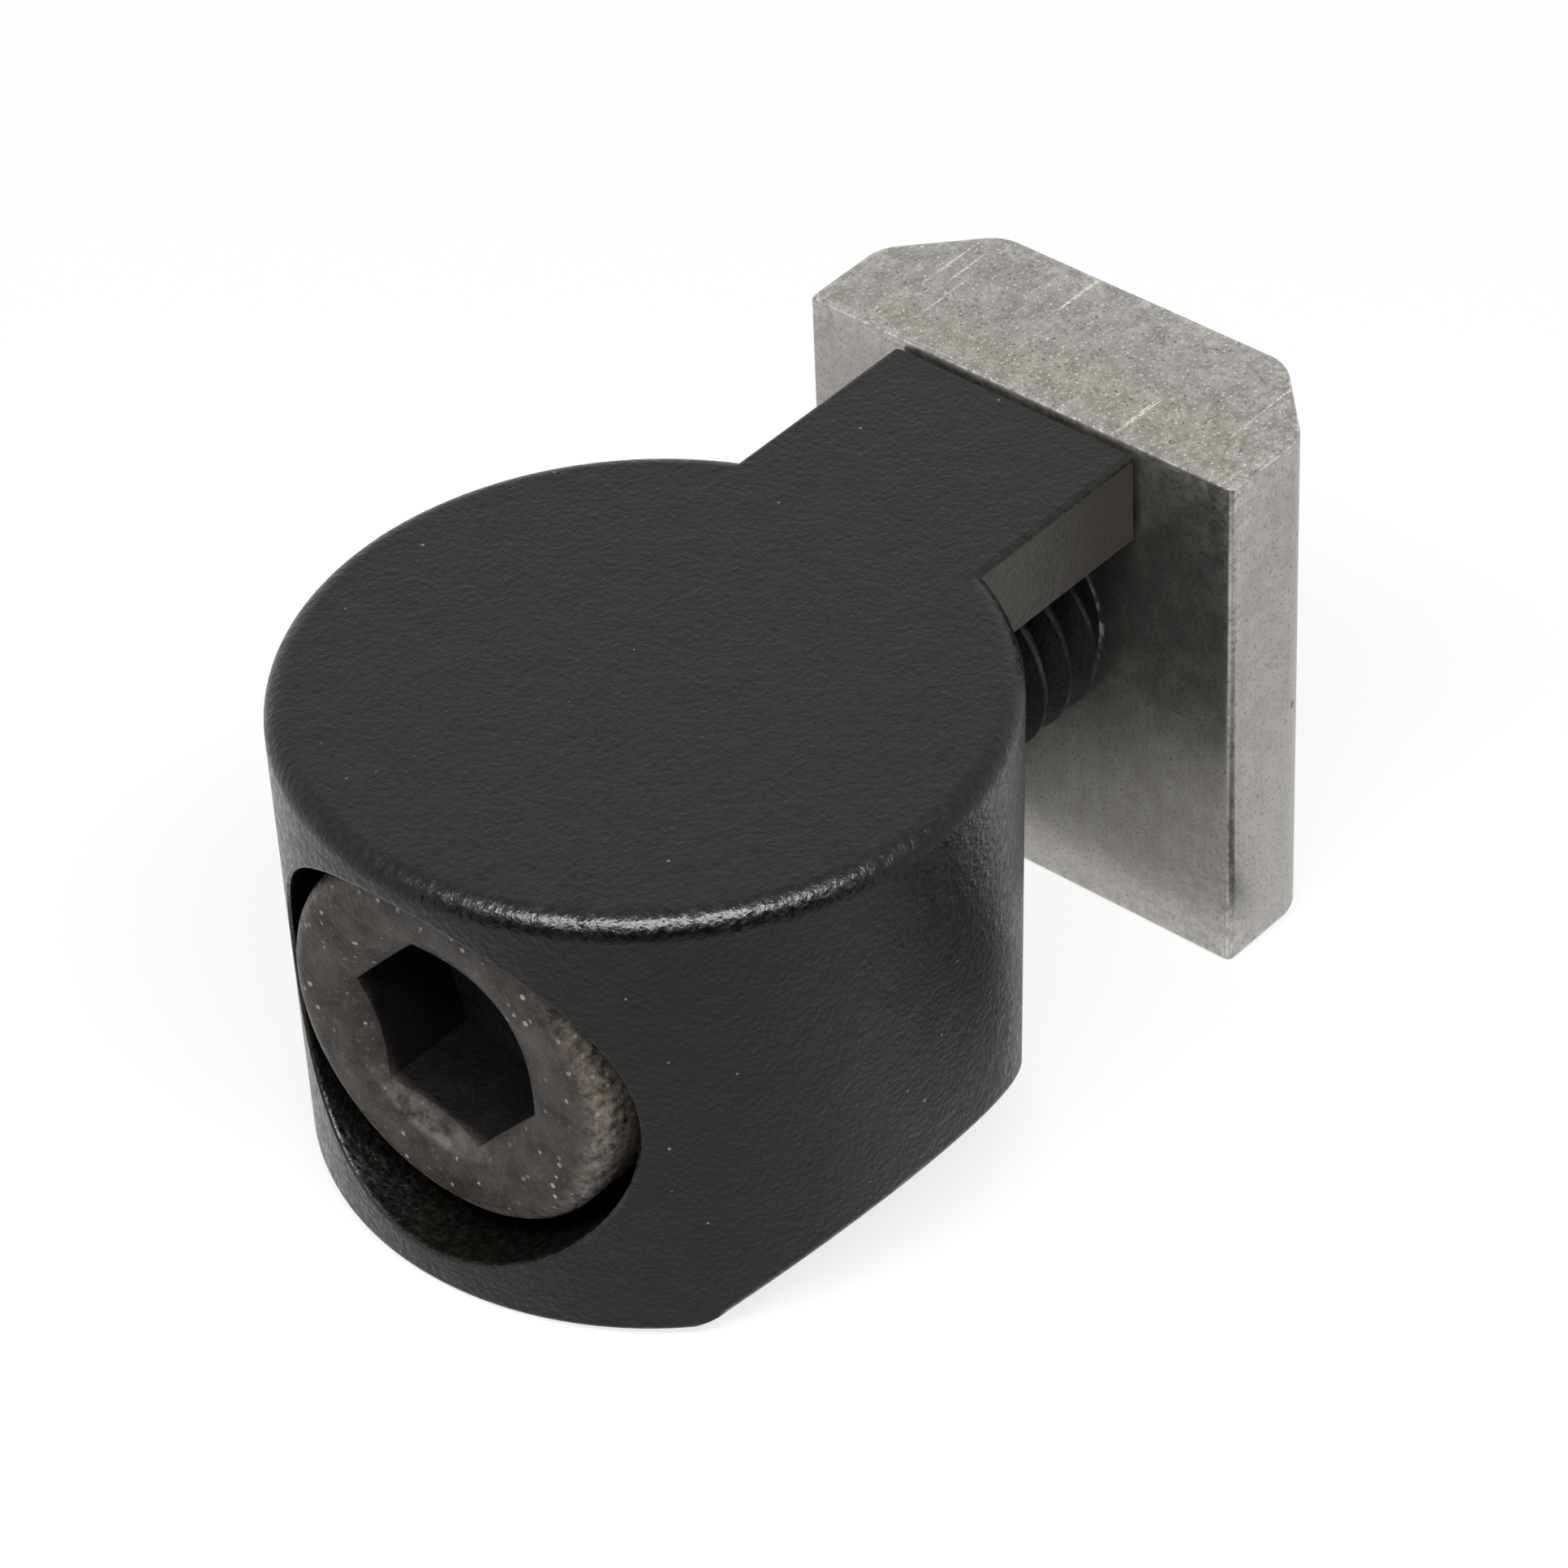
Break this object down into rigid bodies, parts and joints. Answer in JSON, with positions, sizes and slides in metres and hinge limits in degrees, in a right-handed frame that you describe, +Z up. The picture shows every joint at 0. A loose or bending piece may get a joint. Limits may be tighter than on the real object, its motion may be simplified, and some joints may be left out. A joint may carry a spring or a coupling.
{
  "type": "anchor fastener",
  "caption": "Anchor fastener for slotted bar: a cast round cam with a key tab, cross-drilled for a socket-head cap screw that draws a T-nut against the slot.",
  "frame": {"origin": "on the axis of the cam's round barrel, at its flat underside", "axes": "+X along the screw, from its head to the T-nut; +Z up the barrel's axis, to the face that carries the tab"},
  "size_m": [0.0284, 0.0182, 0.0152],
  "materials": {
    "black_casting": "satin black over a fine cast grain",
    "black_oxide_steel": "black oxide worn to a mottled brown-grey",
    "zinc_plated_steel": "pale zinc plate, speckled, with fine saw marks on the cut ends"
  },
  "bodies": {
    "cam": {"anchor_cam": "black_casting"},
    "screw": {"cap_screw": "black_oxide_steel"},
    "nut": {"t_nut": "zinc_plated_steel"}
  },
  "joints": [
    {"name": "screw_turn", "type": "hinge", "parent": "cam", "child": "screw", "pos_m": [0, 0, 0.00665], "axis": [1, 0, 0], "range_deg": [-901, 37]},
    {"name": "nut_travel", "type": "slide", "parent": "cam", "child": "nut", "axis": [1, 0, 0], "range_m": [-0.0001, 0.0025]}
  ],
  "couplings": [
    {"joint": "screw_turn", "follows": "nut_travel", "rad_per_m": -6283.2}
  ]
}
